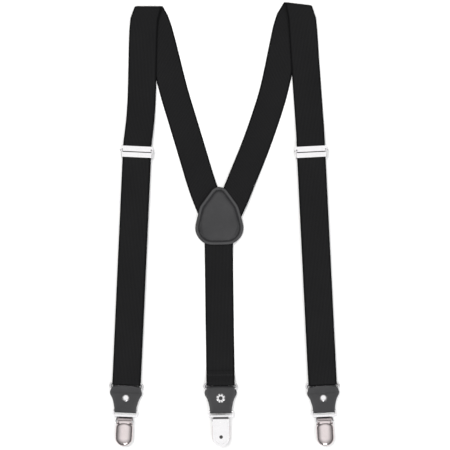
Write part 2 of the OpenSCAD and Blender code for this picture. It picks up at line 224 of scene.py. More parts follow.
softbox("key_softbox", (-0.5, 0.5, 1.5), (0.9, 0.9), 18, (1, 0.99, 0.97))
softbox("fill_softbox", (0.9, -0.5, 1.3), (0.7, 1.1), 9, (0.96, 0.98, 1))
softbox("front_strip", (0.1, -1.3, 0.75), (0.5, 0.22), 2.5, (1, 1, 1), mirrored=True)

# %% [markdown]
# ## Finishes
# A finish is worked out from the place on the piece, so that it never needs a picture. The class
# below wraps one output of a shader node. Sums on it add Math nodes, which lets a weave be written
# as the formula that it is. Numbers that are the same all over go straight onto the shader.


# %% A socket that can be used in sums
class Wire:
    """One output of a shader node."""

    def __init__(self, tree, socket=None):
        self.tree, self.socket = tree, socket

    def node(self, kind, settings=None, inputs=None, out=0):
        """Adds a node, sets its settings first, then the values or links of its sockets."""
        made = self.tree.nodes.new(kind)
        for key, value in (settings or {}).items():
            if key == "stops":
                ramp = made.color_ramp
                while len(ramp.elements) < len(value):
                    ramp.elements.new(0.5)
                for element, (place, grey) in zip(ramp.elements, value):
                    element.position = place
                    element.color = (grey, grey, grey, 1)
            else:
                setattr(made, key, value)
        for key, value in (inputs or {}).items():
            if isinstance(value, Wire):
                self.tree.links.new(value.socket, made.inputs[key])
            else:
                made.inputs[key].default_value = value
        return Wire(self.tree, made.outputs[out])

    def maths(self, operation, *values):
        return self.node("ShaderNodeMath", {"operation": operation}, dict(enumerate(values)))

    def __add__(self, other):
        return self.maths("ADD", self, other)

    def __sub__(self, other):
        return self.maths("SUBTRACT", self, other)

    def __rsub__(self, other):
        return self.maths("SUBTRACT", other, self)

    def __mul__(self, other):
        return self.maths("MULTIPLY", self, other)

    def __abs__(self):
        return self.maths("ABSOLUTE", self)

    __radd__, __rmul__ = __add__, __mul__

    def wave(self, length):
        """0 to 1 and back over each length, with 1 at 0."""
        return self.maths("COSINE", self * (2 * math.pi / length)) * 0.5 + 0.5

    def step(self, low, high):
        """Rises smoothly from 0 at low to 1 at high."""
        ends = {"Value": self, "From Min": low, "From Max": high}
        return self.node("ShaderNodeMapRange", {"interpolation_type": "SMOOTHSTEP"}, ends)

    def mix(self, dark, light):
        """A colour between dark, where this is 0, and light, where it is 1."""
        ends = {0: self, 6: (*dark, 1), 7: (*light, 1)}
        return self.node("ShaderNodeMix", {"data_type": "RGBA"}, ends, out=2)


class Finish(Wire):
    """A material whose Principled shader takes constants by name, and patterns through its wires."""

    def __init__(self, name, **constants):
        self.material = bpy.data.materials.new(name)
        self.material.use_nodes = True
        super().__init__(self.material.node_tree)
        self.shader = self.tree.nodes["Principled BSDF"]
        for key, value in constants.items():
            self.shader.inputs[key.replace("_", " ")].default_value = value

    def attribute(self, name):
        """A number that the piece carries at each point, in millimetres."""
        return self.node("ShaderNodeAttribute", {"attribute_name": name}, out="Fac")

    def noise(self, scale, stretch=(1, 1, 1), detail=3):
        """Noise on the object's own coordinates, with this many patches to the metre."""
        place = self.node("ShaderNodeTexCoord", out="Object")
        place = self.node("ShaderNodeMapping", {}, {"Vector": place, "Scale": stretch})
        ends = {"Vector": place, "Scale": scale, "Detail": detail}
        return self.node("ShaderNodeTexNoise", {}, ends)

    def cells(self, scale):
        """The distance to the nearest of many scattered points, as in the grain of leather."""
        place = self.node("ShaderNodeTexCoord", out="Object")
        ends = {"Vector": place, "Scale": scale}
        return self.node("ShaderNodeTexVoronoi", {}, ends, out="Distance")

    def paint(self, **wires):
        """Links patterns to the shader's sockets, and returns the material."""
        for key, wire in wires.items():
            self.tree.links.new(wire.socket, self.shader.inputs[key.replace("_", " ")])
        return self.material

    def bump(self, height, depth, strength=1.0):
        """A relief of this depth, in metres."""
        ends = {"Height": height, "Distance": depth, "Strength": strength}
        return self.node("ShaderNodeBump", {}, ends, out="Normal")


# %% Floor and room
def floor_finish():
    """Plain pale paper, a little uneven in its gloss."""
    f = Finish("pale_paper", Roughness=0.9, Specular_IOR_Level=0.15)
    mottle = f.noise(6)
    return f.paint(
        Base_Color=mottle.mix((0.9, 0.9, 0.9), (0.93, 0.93, 0.93)),
        Roughness=mottle * 0.1 + 0.82,
    )


floor.data.materials.append(floor_finish())

ZENITH, HORIZON = 1.15, 0.1
# How bright the room is at each rise of the view: 0 is level or below, and 1 is straight up
SKY_STOPS = [(0.0, 0.3), (0.1, HORIZON), (0.5, 0.15), (0.78, 0.5), (0.93, 1.0)]
world = bpy.data.worlds.new("studio")
bpy.context.scene.world = world
world.use_nodes = True
room = Wire(world.node_tree)
view = room.node("ShaderNodeTexCoord", out="Generated")
height = room.node("ShaderNodeSeparateXYZ", {}, {0: view}, out="Z")
sky = room.node("ShaderNodeValToRGB", {"stops": SKY_STOPS}, {0: height})
backdrop = world.node_tree.nodes["Background"]
world.node_tree.links.new(sky.socket, backdrop.inputs["Color"])
backdrop.inputs["Strength"].default_value = ZENITH

# %% [markdown]
# ### Elastic webbing
# Suspender webbing is woven with rubber cords that run along it, each bound by fine cross threads,
# and a denser, flatter selvedge at both edges. Every strap carries two numbers at each point: how
# far across the strap it is and how far along, in millimetres. The weave is a formula on those two,
# so it follows each strap round its bends without a seam. Its colour is painted lighter on the top
# of each rib and darker between two ribs, which is painted highlight and painted shade.

# %% Webbing finish
# In millimetres: half the width, the width of the selvedge, and the pitch of the cross threads
WEBBING_HALF = 12.5
SELVEDGE = 1.3
RIBS = 18
RIB_PITCH = 2 * (WEBBING_HALF - SELVEDGE) / RIBS
PICK_PITCH = 0.62


def webbing_finish():
    """Black ribbed elastic with a dense selvedge, and painted light and shade across the ribs."""
    f = Finish("elastic_webbing", Specular_IOR_Level=0.12, Sheen_Weight=0.01, Sheen_Roughness=0.4)
    across, along = f.attribute("across"), f.attribute("along")
    rib = across.wave(RIB_PITCH)
    pick = (along + rib * (PICK_PITCH / 2)).wave(PICK_PITCH)
    edge = abs(across).step(WEBBING_HALF - SELVEDGE - 0.2, WEBBING_HALF - SELVEDGE + 0.2)
    fuzz = f.noise(2600)
    worn = f.noise(28)
    # Painted highlight and shade: the rib term makes each rib's top lighter and the gap between two ribs darker;
    # the picks and the fuzz are the weave's own texture.
    weave_and_rib_shading = rib * 0.55 + pick * 0.25 + fuzz * 0.2
    inside = 1 - edge
    shade = weave_and_rib_shading * inside * (worn * 0.5 + 0.75)
    return f.paint(
        Base_Color=shade.mix((0.003, 0.003, 0.0034), (0.0165, 0.0165, 0.0172)),
        Roughness=weave_and_rib_shading * 0.2 + 0.62,
        Normal=f.bump(weave_and_rib_shading * inside + pick * edge * 0.4, 0.00012),
    )


WEBBING = webbing_finish()

# %% [markdown]
# ### Leather
# The patch and the tabs are split leather with a smooth black face. Its grain is a net of shallow
# cells and its colour drifts a little from place to place. Near a cut edge the face is painted
# lighter, a painted highlight, and on the patch the rolled bead gets a painted highlight and the
# stitch groove painted shade. Each leather piece carries how near its edge a point is, and that
# drives this painted rim light.


# %% Leather, thread and pad finishes
def leather_finish():
    """Smooth charcoal leather with a fine grain, and painted light and shade near its edges."""
    f = Finish("black_leather", Specular_IOR_Level=0.4, Coat_Roughness=0.45)
    grain = f.cells(1500)
    crease = f.noise(240, detail=6)
    drift = f.noise(45)
    rim = f.attribute("rim")
    # rim is painted light and shade: lighter near a cut edge and on the patch's bead, darker in its stitch groove.
    shade = drift * 0.4 + crease * 0.25 + rim * 0.55 + 0.05
    return f.paint(
        Base_Color=shade.mix((0.012, 0.012, 0.0133), (0.066, 0.0655, 0.068)),
        Roughness=crease * 0.2 + grain * 0.15 + 0.33,
        Normal=f.bump(grain * 0.6 + crease * 0.8, 0.00012, 0.6),
    )


def thread_finish(name, dark, light):
    """Twisted thread: slanting bands along its own length."""
    f = Finish(name, Specular_IOR_Level=0.3)
    twist = f.noise(1900, (1, 1, 2.5))
    return f.paint(
        Base_Color=twist.mix(dark, light), Roughness=twist * 0.2 + 0.5, Normal=f.bump(twist, 0.00008)
    )


def pad_finish():
    """Dark grip rubber, dusty in its hollows."""
    f = Finish("grip_pad", Specular_IOR_Level=0.3)
    dust = f.noise(420)
    return f.paint(
        Base_Color=dust.mix((0.028, 0.027, 0.026), (0.075, 0.072, 0.07)),
        Roughness=dust * 0.25 + 0.55,
        Normal=f.bump(dust, 0.00005),
    )


LEATHER = leather_finish()
THREAD = thread_finish("waxed_thread", (0.006, 0.006, 0.007), (0.05, 0.05, 0.052))
PAD = pad_finish()

# %% [markdown]
# ### Nickel plate
# Pressed parts of this kind are nickel plated and tumbled, so they are bright but not a perfect
# mirror: the gloss is cloudy from place to place and hair-fine scratches run along the pressing.
# The levers are a shade darker and warmer than the wire rings and the adjusters.


# %% Metal finishes
def nickel_finish(name, dark, light, gloss):
    """Tumbled nickel plate with hairline scratches along the part."""
    f = Finish(name, Metallic=1.0)
    cloud = f.noise(130)
    scratch = f.noise(900, (1, 0.08, 1), 5)
    return f.paint(
        Base_Color=(cloud * 0.7 + scratch * 0.3).mix(dark, light),
        Roughness=cloud * 0.12 + scratch * 0.1 + gloss,
        Normal=f.bump(scratch, 0.00001, 0.5),
    )


BRIGHT = nickel_finish("bright_nickel", (0.74, 0.73, 0.74), (0.9, 0.89, 0.9), 0.08)
WARM = nickel_finish("warm_nickel", (0.60, 0.53, 0.53), (0.78, 0.71, 0.71), 0.1)

# %% [markdown]
# ## Where the pieces go
# Each end of the suspenders is a short chain: strap, ring, tab, clip. The frame states a hinge for
# each link, so its place and axis give a small frame of its own, with X along the hinge, -Y down to
# the tip of the clip and +Z to the front. A piece is then modelled once, in that small frame, and
# carried to all three ends.

# %% Frames of the hinges
JOINTS = {joint["name"]: joint for joint in frame["joints"]}


def hinge_place(name):
    """A point on the hinge's axis."""
    return Vector(JOINTS[name]["pos_m"])


def hinge_frame(name, down):
    """X along the hinge, -Y along down, +Z to the front of the clip."""
    x = -Vector(JOINTS[name]["axis"]).normalized()
    y = -(down - x * down.dot(x)).normalized()
    matrix = Matrix((x, y, x.cross(y))).transposed().to_4x4()
    matrix.translation = hinge_place(name)
    return matrix


RING_AT, TAB_AT, CLIP_AT = {}, {}, {}
for side in SIDES:
    ring, tab, clip = (hinge_place(f"{part}_swing_{side}") for part in ("ring", "tab", "clip"))
    down = clip - tab
    TAB_AT[side] = hinge_frame(f"tab_swing_{side}", down)
    level = Vector((down.x, down.y, 0))
    CLIP_AT[side] = hinge_frame(f"clip_swing_{side}", level)
    RING_AT[side] = hinge_frame(f"ring_swing_{side}", level)
BAR_GAP = (hinge_place("ring_swing_left") - hinge_place("tab_swing_left")).length
TAB_REACH = (hinge_place("tab_swing_left") - hinge_place("clip_swing_left")).length
print("ring bars", round(BAR_GAP / MM, 2), "mm apart, tab reach", round(TAB_REACH / MM, 2), "mm")

# %% [markdown]
# ## Strips
# Straps and tabs are all strips that follow a path. A strip starts as a flat grid, with one column
# for each point of its cross-section and one row for each place along its path. The rows are then
# laid on the path, the seam is merged and the two ends are filled. A Curve modifier could bend a
# flat strap too, but it rolls the strap over where the path turns under a bar, so the rows are laid
# one by one.


# %% Lay a strip along a path
PAINTED_RIM_LIGHT_FADE = 0.7 * MM


def strip(name, rows, section):
    """A closed strip along rows of (middle, half-width vector, thickness direction).

    section(half width) gives the points round it.
    """
    count = len(section(rows[0][1].length))
    bpy.ops.object.select_all(action="DESELECT")
    bpy.ops.mesh.primitive_grid_add(x_subdivisions=count, y_subdivisions=len(rows) - 1, size=0.1)
    obj = bpy.context.object
    points, across, along, rim = [], [], [], []
    gone = 0.0
    for i, (middle, half, up) in enumerate(rows):
        gone += (middle - rows[i - 1][0]).length if i else 0
        outline = section(half.length)
        side = half.normalized()
        for x, z in outline + outline[:1]:
            points.append(middle + side * x + up * z)
            across.append(x / half.length * WEBBING_HALF)
            along.append(gone / MM)
            # rim rises towards the cut edge; the leather finish paints a highlight there.
            rim.append(math.exp(-(half.length - abs(x)) / PAINTED_RIM_LIGHT_FADE))
    obj.data.vertices.foreach_set("co", np.array(points, np.float32).ravel())
    for label, values in (("across", across), ("along", along), ("rim", rim)):
        carry(obj, label, values)
    with editing(obj):
        bpy.ops.mesh.remove_doubles(threshold=0.002 * MM)
        bpy.ops.mesh.select_all(action="DESELECT")
        bpy.ops.mesh.select_non_manifold(extend=False)
        bpy.ops.mesh.edge_face_add()
        bpy.ops.mesh.select_all(action="SELECT")
        bpy.ops.mesh.normals_make_consistent(inside=False)
    return named(obj, name)


# %% [markdown]
# ## The straps
# The CAD solid of a strap already lies where the strap lies, with its loops round the bars. Its
# four long sharp edges are the strap's corners, in order, so walking along them gives the path, the
# width and the tilt at every station. The ribs are real relief here: the cross-section rises and
# falls with each rubber cord, and ends in a round selvedge.


# %% Read a strap's path from its solid
def corner_lines(node):
    """The points of a strap's four long edges, each from one end of the strap to the other."""
    solid = bmesh.new()
    solid.from_mesh(frame["nodes"][node].data)
    bmesh.ops.remove_doubles(solid, verts=solid.verts, dist=0.0005 * MM)
    sharp = {v: [] for v in solid.verts}
    for edge in solid.edges:
        if edge.calc_face_angle(0) > SHARP_ANGLE:
            sharp[edge.verts[0]].append(edge.verts[1])
            sharp[edge.verts[1]].append(edge.verts[0])
    ends = {v for v, met in sharp.items() if len(met) == 3}
    first = min(ends, key=lambda v: tuple(v.co))
    beside = [v for v in sharp[first] if v in ends]
    cap = [first] + sorted(beside, key=lambda v: (v.co - first.co).length)
    cap.append(next(v for v in sharp[cap[1]] if v in ends and v is not first))
    lines = []
    for corner in cap:
        line, last = [corner], None
        while last is None or line[-1] not in ends:
            here = line[-1]
            ahead = [v for v in sharp[here] if v is not last and (last is not None or v not in ends)]
            last = here
            line.append(ahead[0])
        lines.append([v.co.copy() for v in line])
    solid.free()
    return lines


def strap_rows(node, step=4 * MM):
    """Rows for strip() along a strap's solid, with no two further apart than step."""
    near, under, over, far = corner_lines(node)
    stations = []
    for a, b, c, d in zip(near, under, over, far):
        stations.append(((a + b + c + d) / 4, (a + b - c - d) / 4, (a - b + c - d).normalized()))
    rows = [stations[0]]
    for start, end in zip(stations, stations[1:]):
        pieces = max(1, math.ceil((end[0] - start[0]).length / step))
        for i in range(1, pieces + 1):
            rows.append(tuple(start[k].lerp(end[k], i / pieces) for k in range(3)))
    return rows


print("rows of the left front strap:", len(strap_rows("strap_front_left")))

# %% Cross-section of the webbing
WEBBING_T = 1.1 * MM
POINTS_PER_RIB = 4


def webbing_section(half):
    """Round the webbing: ribs over the top, a round selvedge, ribs below and the other selvedge."""
    flat = half - SELVEDGE * MM
    count = RIBS * POINTS_PER_RIB
    top = []
    for i in range(count + 1):
        rib = 0.5 + 0.5 * math.cos(2 * math.pi * i / POINTS_PER_RIB)
        top.append((flat * (2 * i / count - 1), WEBBING_T * (0.41 + 0.09 * rib)))
    thin = WEBBING_T * 0.36
    edge = [(flat + 0.5 * MM, thin * 1.02), (half - 0.35 * MM, thin), (half - 0.08 * MM, thin * 0.6)]
    right = edge + [(half, 0)] + [(x, -z) for x, z in reversed(edge)]
    return top + right + [(x, -z) for x, z in reversed(top)] + [(-x, -z) for x, z in right]


print("points round the webbing:", len(webbing_section(WEBBING_HALF * MM)))

# %% Lay the straps
for part in ("center", "front_left", "front_right", "back_left", "back_right"):
    node = f"strap_{part}"
    rows = strap_rows(node)
    length = sum((b[0] - a[0]).length for a, b in zip(rows, rows[1:]))
    strap = stand_for(strip(f"webbing_{part}", rows, webbing_section), node, WEBBING)
    print("cut length in mm:", round(length / MM, 1))

# %% [markdown]
# At each shoulder the webbing turns over in a tight bend, laid along the CAD fold and put on no body.
#
# Behind each front strap runs the return ply: the webbing comes round the ring, climbs back up and
# ends sewn round a bar of the adjuster. Its upper end goes with the adjuster. How much of the long
# run below is left as the adjuster slides down is worked out and printed.


# %% Shoulder bends
def stretched(rows, by):
    """The same rows, with both ends carried on by a short length, so that two pieces meet."""
    first, last = rows[0], rows[-1]
    before = (first[0] + (first[0] - rows[1][0]).normalized() * by, first[1], first[2])
    after = (last[0] + (last[0] - rows[-2][0]).normalized() * by, last[1], last[2])
    return [before] + rows + [after]


BEND_STEP = 0.3 * MM
BEND_OVERLAP = 0.12 * MM
for side in FRONT_SIDES:
    node = f"strap_fold_{side}"
    rows = stretched(strap_rows(node, BEND_STEP), BEND_OVERLAP)
    bend = strip(f"webbing_bend_{side}", rows, webbing_section)
    low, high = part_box(node)
    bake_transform(bend)
    stand_for(bend, node, WEBBING, bends=True)

# %% Return plies
SEWN_LENGTH = 10.5 * MM
SLIDE_SLACK = 0.05 * MM
for side in FRONT_SIDES:
    node = f"strap_return_{side}"
    slide = JOINTS[f"adjuster_slide_{side}"]
    rows = strap_rows(node)
    if rows[0][0].y > rows[-1][0].y and rows[0][0].z > rows[-1][0].z:
        rows.reverse()
    split_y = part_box(f"slider_frame_{side}")[0].y - SEWN_LENGTH
    split = next(i for i, row in enumerate(rows) if row[0].y > split_y)
    run = strip(f"webbing_return_{side}", rows[: split + 1], webbing_section)
    length = (rows[split][0] - rows[0][0]).length
    keep = (length - slide["range_m"][1] - SLIDE_SLACK) / length
    stand_for(run, node, WEBBING)
    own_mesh(run)
    hook = strip(f"webbing_hook_{side}", rows[split:], webbing_section)
    hook.data.materials.append(WEBBING)
    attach(hook, f"adjuster_{side}")
    print(side, "return ply keeps", round(keep, 3), "of its length")

# %% [markdown]
# ## Thread
# A stitch is a short length of thread that comes up through one hole and goes down the next, so it
# is thickest in the middle and dives at both ends. One stitch is modelled and copied along a seam.


# %% A stitch and a seam
def stitch(length, radius):
    """One stitch along X, with its ends drawn down into their holes."""
    along_x = (0, math.pi / 2, 0)
    bpy.ops.mesh.primitive_cylinder_add(vertices=8, radius=radius, depth=length, rotation=along_x)
    obj = bpy.context.object
    bpy.ops.object.transform_apply(rotation=True)
    with editing(obj):
        for part in (-0.3, 0, 0.3):
            bpy.ops.mesh.select_all(action="SELECT")
            bpy.ops.mesh.bisect(plane_co=(part * length, 0, 0), plane_no=(1, 0, 0))
        for end in (-1, 1):
            choose(obj, "VERT", lambda place, _: place.x * end > 0.49 * length)
            bpy.ops.transform.resize(value=(1, 0.55, 0.55))
            bpy.ops.transform.translate(value=(0, 0, -1.1 * radius))
    return named(obj, "stitch")


def seam(name, places, length, radius):
    """A row of stitches, one for each (place, heading in radians)."""
    model = stitch(length, radius)
    copies = [copy_to(model, Matrix.Translation(place) @ Matrix.Rotation(heading, 4, "Z"), name)
              for place, heading in places]
    bpy.data.objects.remove(model)
    return joined(name, copies)


# %% Seam that closes the loop of the centre strap
SEAM_RISE = 7.4 * MM
HEM_WIDTH = 22 * MM
HEM_STITCHES = 11
seam_y = hinge_place("ring_swing_back").y + SEAM_RISE
path = [row[0] for row in strap_rows("strap_center")]
webbing_top = max(place.z for place in path if abs(place.y - seam_y) < 2 * MM)
pitch = HEM_WIDTH / HEM_STITCHES
middle = RING_AT["back"] @ Vector((0, SEAM_RISE, 0))
heading = RING_AT["back"].to_3x3() @ Vector((1, 0, 0))
turn = math.atan2(heading.y, heading.x)
places = []
for i in range(HEM_STITCHES):
    place = middle + heading * pitch * (i - (HEM_STITCHES - 1) / 2)
    places.append((Vector((place.x, place.y, webbing_top + 0.5 * WEBBING_T)), turn))
hem = seam("hem_stitching", places, 0.8 * pitch, 0.2 * MM)
hem.data.materials.append(THREAD)
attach(hem, "back_yoke")

# %% [markdown]
# ## The back patch
# Two pear-shaped leathers are sewn together round the three straps. The edge of the upper one is a
# rolled bead, the thread lies in a groove beside it, and the middle is puffed up by the straps
# below. The outline is taken from the CAD solid. Insets then draw the bead, the groove and the puff
# one contour at a time, as a die would press them, and a subdivision surface rounds them. Between
# two straps nothing holds the leathers apart, so there the rim is drawn down to the lower one.


# %% Outline of the patch
def outline_of(node):
    """The outline of a flat solid that lies level, as points in order round its middle."""
    low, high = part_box(node)
    centre = (low + high) / 2
    found = {(round(v.co.x, 6), round(v.co.y, 6)) for v in frame["nodes"][node].data.vertices}
    return sorted(found, key=lambda p: math.atan2(p[1] - centre.y, p[0] - centre.x))


PATCH_OUTLINE = [Vector(p) for p in outline_of("patch_bottom")]
PATCH_LOW, PATCH_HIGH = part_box("patch_bottom")
PATCH_MIDDLE = (PATCH_LOW + PATCH_HIGH) / 2


def inward(i, distance):
    """The outline's point number i, moved in from the edge."""
    ahead, behind = PATCH_OUTLINE[(i + 1) % len(PATCH_OUTLINE)], PATCH_OUTLINE[i - 1]
    run = (ahead - behind).normalized()
    return PATCH_OUTLINE[i] + Vector((-run.y, run.x)) * distance


def edge_distance(place):
    """How far a point is from the patch's outline."""
    spot, best = Vector((place.x, place.y)), 1.0
    for a, b in zip(PATCH_OUTLINE, PATCH_OUTLINE[1:] + PATCH_OUTLINE[:1]):
        along = max(0, min(1, (spot - a).dot(b - a) / (b - a).length_squared))
        best = min(best, (a + (b - a) * along - spot).length)
    return best


# %% Press the two leathers
PATCH_T = 1.2 * MM
# Each step of the die: how far in from the last contour, and how far up
TOP_DIE = [
    (0.15, 0.25), (0.3, 0.22), (0.5, 0.12), (0.7, 0.0), (0.5, -0.12), (0.4, -0.3), (0.3, -0.32),
    (0.5, 0.0), (0.3, 0.34), (0.4, 0.36), (0.8, 0.36), (1.1, 0.24), (1.2, 0.12),
]
# How far in from the edge the bead and the groove lie
BEAD, GROOVE = 1.2, 3.1
BOTTOM_DIE = [(0.15, 0.1), (0.4, 0.05), (2.0, 0.0)]


def pressed_leather(name, z, thick, die):
    """A leather cut to the patch's outline, with its face pressed by the die and its edge rolled."""
    bpy.ops.object.select_all(action="DESELECT")
    bpy.ops.mesh.primitive_circle_add(vertices=len(PATCH_OUTLINE), radius=0.01, fill_type="NGON")
    obj = bpy.context.object
    for vertex, point in zip(obj.data.vertices, PATCH_OUTLINE):
        vertex.co = (point.x, point.y, z + thick - 0.35 * MM)
    with editing(obj):
        bpy.ops.mesh.select_mode(type="FACE")
        bpy.ops.mesh.select_all(action="SELECT")
        bpy.ops.mesh.normals_make_consistent(inside=False)
        for step, rise in die:
            bpy.ops.mesh.inset(thickness=step * MM, depth=rise * MM)
        bpy.ops.mesh.poke(offset=0.05 * MM)
        bpy.ops.mesh.select_mode(type="EDGE")
        bpy.ops.mesh.select_all(action="DESELECT")
        bpy.ops.mesh.select_non_manifold(extend=False)
        extrude((0, 0, -(thick - 0.5 * MM)))
        extrude((0, 0, -0.15 * MM))
        bpy.ops.transform.resize(value=(0.985, 0.985, 1), center_override=PATCH_MIDDLE)
        bpy.ops.mesh.edge_face_add()
        bpy.ops.mesh.inset(thickness=3 * MM)
        bpy.ops.mesh.poke()
        bpy.ops.mesh.select_all(action="SELECT")
        bpy.ops.mesh.normals_make_consistent(inside=False)
    modify(obj, "SUBSURF", levels=2, render_levels=2)
    # Painted light and shade: a painted highlight along the rolled bead and painted shade in the stitch groove.
    rim = []
    for vertex in obj.data.vertices:
        inset = edge_distance(vertex.co) / MM
        light = 0.55 * math.exp(-((inset - BEAD) / 0.9) ** 2)
        rim.append(light - 0.8 * math.exp(-((inset - GROOVE) / 0.45) ** 2))
    carry(obj, "rim", rim)
    return named(obj, name)


NEARBY, SAG_SPAN, RIM_WIDTH = 16 * MM, 5 * MM, 5.5 * MM
UNDER_PATCH = [strap_rows(f"strap_{way}") for way in ("back_left", "back_right", "center")]


def off_the_straps(place):
    """0 over a strap, rising to 1 where a point is well clear of all three."""
    gap = 1.0
    for rows in UNDER_PATCH:
        for (a, half, _), (b, _, _) in zip(rows, rows[1:]):
            if abs(a.y - place.y) < NEARBY:
                run = (b - a).to_2d()
                along = max(0, min(1, (place - a).to_2d().dot(run) / run.length_squared))
                gap = min(gap, ((place - a).to_2d() - run * along).length - half.length)
    t = max(0, min(1, gap / SAG_SPAN))
    return t * t * (3 - 2 * t)


def drawn_down(obj, drop):
    """Draws the rim down to the lower leather wherever no strap lies under it."""
    for vertex in obj.data.vertices:
        near = math.exp(-(edge_distance(vertex.co) / RIM_WIDTH) ** 2)
        if near > 0.01:
            vertex.co.z -= drop * near * off_the_straps(vertex.co)


patch_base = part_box("patch_top")[0].z
rim_drop = patch_base - PATCH_HIGH.z - 0.1 * MM
patch_top = pressed_leather("patch_top_leather", patch_base, PATCH_T, TOP_DIE)
drawn_down(patch_top, rim_drop)
stand_for(patch_top, "patch_top", LEATHER)
patch_bottom = pressed_leather("patch_bottom_leather", 0, PATCH_T, BOTTOM_DIE)
stand_for(patch_bottom, "patch_bottom", LEATHER)
print("the rim sinks by mm:", round(rim_drop / MM, 2))

# %% Sew the patch
SEAM_INSET = GROOVE * MM
PATCH_STITCHES = 46
seam_line = [inward(i, SEAM_INSET) for i in range(len(PATCH_OUTLINE))]
seam_line.append(seam_line[0])
steps = [(b - a).length for a, b in zip(seam_line, seam_line[1:])]
groove = []
for vertex in patch_top.data.vertices:
    if abs(edge_distance(vertex.co) - SEAM_INSET) < 0.3 * MM and vertex.co.z > patch_base * 0.6:
        groove.append(vertex.co)
places = []
for i in range(PATCH_STITCHES):
    left = sum(steps) * i / PATCH_STITCHES
    k = 0
    while left > steps[k]:
        left -= steps[k]
        k += 1
    spot = seam_line[k].lerp(seam_line[k + 1], left / steps[k])
    run = seam_line[k + 1] - seam_line[k]
    under = min(groove, key=lambda p: (p.x - spot.x) ** 2 + (p.y - spot.y) ** 2)
    places.append((Vector((spot.x, spot.y, under.z + 0.18 * MM)), math.atan2(run.y, run.x)))
stitching = seam("patch_thread", places, 0.72 * sum(steps) / PATCH_STITCHES, 0.24 * MM)
stand_for(stitching, "patch_stitching", THREAD)

# %% [markdown]
# ## Leather tabs
# A tab is one strip of leather. It starts as the free edge in front of the ring, runs down, folds
# round the bail of the clip, climbs up the back, folds round the ring and ends between its own two
# plies, where the rivet pins all of it. It is modelled once in the frame of the ring's lower bar.

# %% Model one tab
LEATHER_T = 1.0 * MM
RING_R = 1.5 * MM
HOOK_REACH = 2.0 * MM
BAIL_R = 1.4 * MM
TAB_ARCH = 1.7 * MM
# Half width of the tab at each height, in mm: broad at the shoulders, narrow at the bail
TOP_HALF = 12.7
TAB_HALF = (
    [-22, -16, -12, -8.4, -5.3, -3, -1, 2.6],
    [9.4, 9.9, 10.8, 12.0, 13.9, 14.3, 13.6, TOP_HALF],
)


def curve_through(points, steps):
    """A smooth line through points of any dimension, with this many steps between two of them."""
    p = [np.array(q, float) for q in points]
    p = [2 * p[0] - p[1]] + p + [2 * p[-1] - p[-2]]
    line = []
    for a, b, c, d in zip(p, p[1:], p[2:], p[3:]):
        for t in np.arange(steps) / steps:
            square, cube = 2 * a - 5 * b + 4 * c - d, 3 * b - a - 3 * c + d
            line.append(0.5 * (2 * b + (c - a) * t + square * t * t + cube * t**3))
    return line + [p[-2]]


def leather_section(half):
    """Round a cut leather strip, with softened edges."""
    t = LEATHER_T / 2
    edge = [(half - 0.4 * MM, t), (half - 0.12 * MM, t * 0.82), (half, t * 0.35)]
    right = edge + [(x, -z) for x, z in reversed(edge)]
    inner = half - 0.9 * MM
    top = [(inner * (i / 6 - 1), t) for i in range(13)]
    return top + right + [(-x, -z) for x, z in top] + [(-x, -z) for x, z in right]


def tab_model():
    """The folded strip, in the frame of the ring's lower bar."""
    reach, bail, bar, out = TAB_REACH / MM, BAIL_R / MM, RING_R / MM, HOOK_REACH / MM
    half_turn = [(math.sin(a), math.cos(a)) for a in np.linspace(0, math.pi, 17)[1:]]
    front = curve_through([
        (3.0, 2.5), (1.2, 2.6), (-2, 2.2), (-4.2, 1.15), (-6.5, 1.05), (-9, 1.05), (-12, 1.05),
        (-15, 1.2), (-17.5, 1.35), (-reach, bail),
    ], 4)
    turn = [(-reach - bail * s, bail * c) for s, c in half_turn]
    back = curve_through([
        (-reach, -bail), (-17.5, -1.35), (-15, -1.2), (-12, -1.05), (-9, -1.05), (-6, -1.05),
        (-3.7, -1.08), (-2, -1.3), (0, -bar),
    ], 4)[1:]
    hook = [(out * s, -bar * c) for s, c in half_turn]
    flap = curve_through([(0, bar), (-2.3, 0.9), (-4, 0.1), (-6.5, 0), (-9, 0), (-12.2, 0)], 3)[1:]
    trims = [0] * (len(front) + len(turn)) + [0.9] * (len(back) + len(hook)) + [1.8] * len(flap)
    path = [Vector((0, y * MM, z * MM)) for y, z in front + turn + back + hook + flap]
    rows = []
    for i, (place, trim) in enumerate(zip(path, trims)):
        run = path[min(i + 1, len(path) - 1)] - path[max(i - 1, 0)]
        half = (np.interp(place.y / MM, *TAB_HALF) - trim) * MM
        rows.append((place, Vector((half, 0, 0)), run.cross(Vector((1, 0, 0))).normalized()))
    obj = strip("tab", rows, leather_section)
    for vertex in obj.data.vertices:
        lift = max(0, min(1, vertex.co.y / MM / 3)) * (vertex.co.z > 1.9 * MM)
        vertex.co.y -= TAB_ARCH * lift * (vertex.co.x / (TOP_HALF * MM)) ** 2
    return obj


tab = tab_model()
for side in SIDES:
    stand_for(copy_to(tab, TAB_AT[side], f"leather_tab_{side}"), f"tab_{side}", LEATHER)
bpy.data.objects.remove(tab)

# %% [markdown]
# ## Spun and bent metal
# A rivet's head, the rolled petals behind it and the round end of a lever are all turned shapes. A
# profile is drawn point by point, by extruding one vertex from place to place, and then spun.


# %% Draw a profile and spin it
def profile(points):
    """An open line through points, in mm: one vertex, extruded from each place to the next."""
    bpy.ops.object.select_all(action="DESELECT")
    bpy.ops.mesh.primitive_plane_add(size=MM, location=Vector(points[0]) * MM)
    obj = bpy.context.object
    bpy.ops.object.transform_apply(location=True)
    with editing(obj):
        bpy.ops.mesh.merge(type="CENTER")
        for a, b in zip(points, points[1:]):
            extrude((Vector(b) - Vector(a)) * MM)
    return obj


